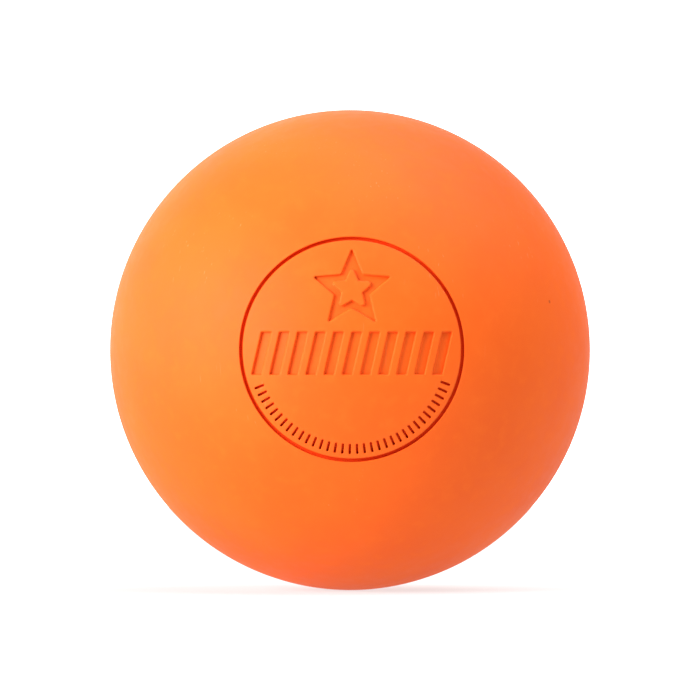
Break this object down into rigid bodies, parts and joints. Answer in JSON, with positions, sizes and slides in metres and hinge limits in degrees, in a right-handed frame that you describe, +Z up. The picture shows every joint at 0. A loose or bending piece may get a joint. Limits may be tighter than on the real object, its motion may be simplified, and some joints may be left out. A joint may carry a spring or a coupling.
{
  "type": "lacrosse ball",
  "caption": "Smooth solid rubber ball with a round sunken badge, for lacrosse or for rolling massage of muscles.",
  "frame": {"origin": "centre of the ball", "axes": "+Z up; the badge is centred on -Y and stands upright; the mould's axis runs along Y, and its halves meet on the plane Y = 0"},
  "size_m": [0.0634, 0.0635, 0.0634],
  "materials": {
    "cover_rubber": "matte",
    "core_rubber": "matte"
  },
  "bodies": {
    "root": {"core": "core_rubber", "cover_front": "cover_rubber", "cover_back": "cover_rubber"}
  },
  "joints": []
}
